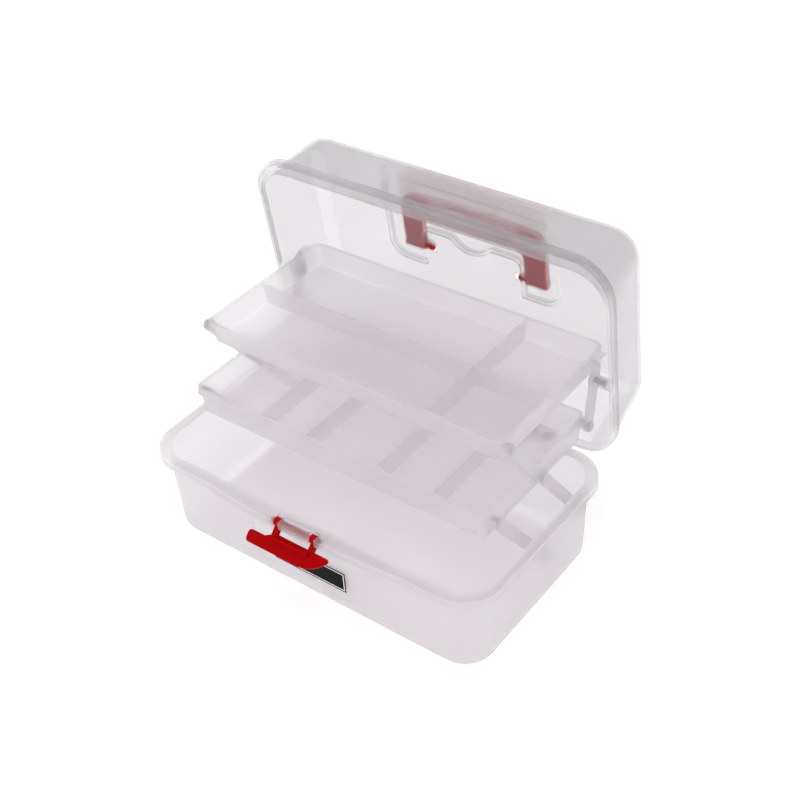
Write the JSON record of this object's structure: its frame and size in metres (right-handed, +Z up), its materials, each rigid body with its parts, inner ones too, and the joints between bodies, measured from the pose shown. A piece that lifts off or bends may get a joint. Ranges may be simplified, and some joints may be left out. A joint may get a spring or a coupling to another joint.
{
  "type": "tackle box",
  "caption": "Frosted plastic tackle box whose divided trays rise on swinging arms as the lid opens, with a folding handle and a front latch.",
  "frame": {"origin": "centre of the base's flat underside, on the table", "axes": "+X along the box's length to its right end, +Y from the latch to the lid's hinge, +Z up"},
  "size_m": [0.33, 0.2701, 0.2735],
  "materials": {
    "frosted_shell": "frosted translucent polypropylene, fine satin surface",
    "tray_plastic": "frosted translucent polypropylene, smooth satin surface",
    "arm_plastic": "natural moulded plastic, satin",
    "red_plastic": "moulded red plastic, semi-gloss",
    "pin_steel": "drawn wire, bright"
  },
  "bodies": {
    "base": {"base_tub": "frosted_shell", "hinge_pin_right": "pin_steel", "hinge_pin_left": "pin_steel", "long_arm_base_pin_right": "arm_plastic", "long_arm_base_pin_left": "arm_plastic", "short_arm_base_pin_right": "arm_plastic", "short_arm_base_pin_left": "arm_plastic"},
    "lid": {"lid": "frosted_shell", "lid_peg_right": "arm_plastic", "lid_peg_left": "arm_plastic"},
    "handle": {"handle": "red_plastic"},
    "latch": {"latch": "red_plastic"},
    "long_arms": {"long_arm_right": "arm_plastic", "long_arm_left": "arm_plastic"},
    "short_arms": {"short_arm_right": "arm_plastic", "short_arm_left": "arm_plastic"},
    "lower_tray": {"lower_tray": "tray_plastic", "long_arm_tray_pin_right": "arm_plastic", "long_arm_tray_pin_left": "arm_plastic", "short_arm_tray_pin_right": "arm_plastic", "short_arm_tray_pin_left": "arm_plastic", "link_pin_right": "arm_plastic", "link_pin_left": "arm_plastic"},
    "upper_tray": {"upper_tray": "tray_plastic", "upper_tray_pin_right": "arm_plastic", "upper_tray_pin_left": "arm_plastic"},
    "lid_links": {"lid_link_right": "arm_plastic", "lid_link_left": "arm_plastic"}
  },
  "joints": [
    {"name": "lid_hinge", "type": "hinge", "parent": "base", "child": "lid", "pos_m": [0, 0.0967, 0.08115], "axis": [1, 0, 0], "range_deg": [0, 83]},
    {"name": "handle_fold", "type": "hinge", "parent": "lid", "child": "handle", "pos_m": [0, 0.15046, 0.18447], "axis": [-1, 0, 0], "range_deg": [0, 90]},
    {"name": "latch_swing", "type": "hinge", "parent": "base", "child": "latch", "pos_m": [0, -0.0958, 0.0771], "axis": [-1, 0, 0], "range_deg": [-38, 137]},
    {"name": "long_arm_swing", "type": "hinge", "parent": "base", "child": "long_arms", "pos_m": [0, 0.0733, 0.045], "axis": [1, 0, 0], "range_deg": [0, 31.6]},
    {"name": "short_arm_swing", "type": "hinge", "parent": "base", "child": "short_arms", "pos_m": [0, 0.014, 0.045], "axis": [1, 0, 0], "range_deg": [0, 31.6]},
    {"name": "lower_tray_level", "type": "hinge", "parent": "long_arms", "child": "lower_tray", "pos_m": [0, 0.02226, 0.11297], "axis": [1, 0, 0], "range_deg": [-31.6, 0]},
    {"name": "upper_tray_level", "type": "hinge", "parent": "long_arms", "child": "upper_tray", "pos_m": [0, -0.01904, 0.16799], "axis": [1, 0, 0], "range_deg": [-31.6, 0]},
    {"name": "lid_link_swing", "type": "hinge", "parent": "lower_tray", "child": "lid_links", "pos_m": [0, 0.086, 0.11907], "axis": [1, 0, 0], "range_deg": [0, 96]}
  ],
  "couplings": [
    {"joint": "long_arm_swing", "follows": "lid_hinge", "ratio": 0.37952},
    {"joint": "short_arm_swing", "follows": "lid_hinge", "ratio": 0.37952},
    {"joint": "lower_tray_level", "follows": "lid_hinge", "ratio": -0.37952},
    {"joint": "upper_tray_level", "follows": "lid_hinge", "ratio": -0.37952},
    {"joint": "lid_link_swing", "follows": "lid_hinge", "ratio": 1.122}
  ]
}
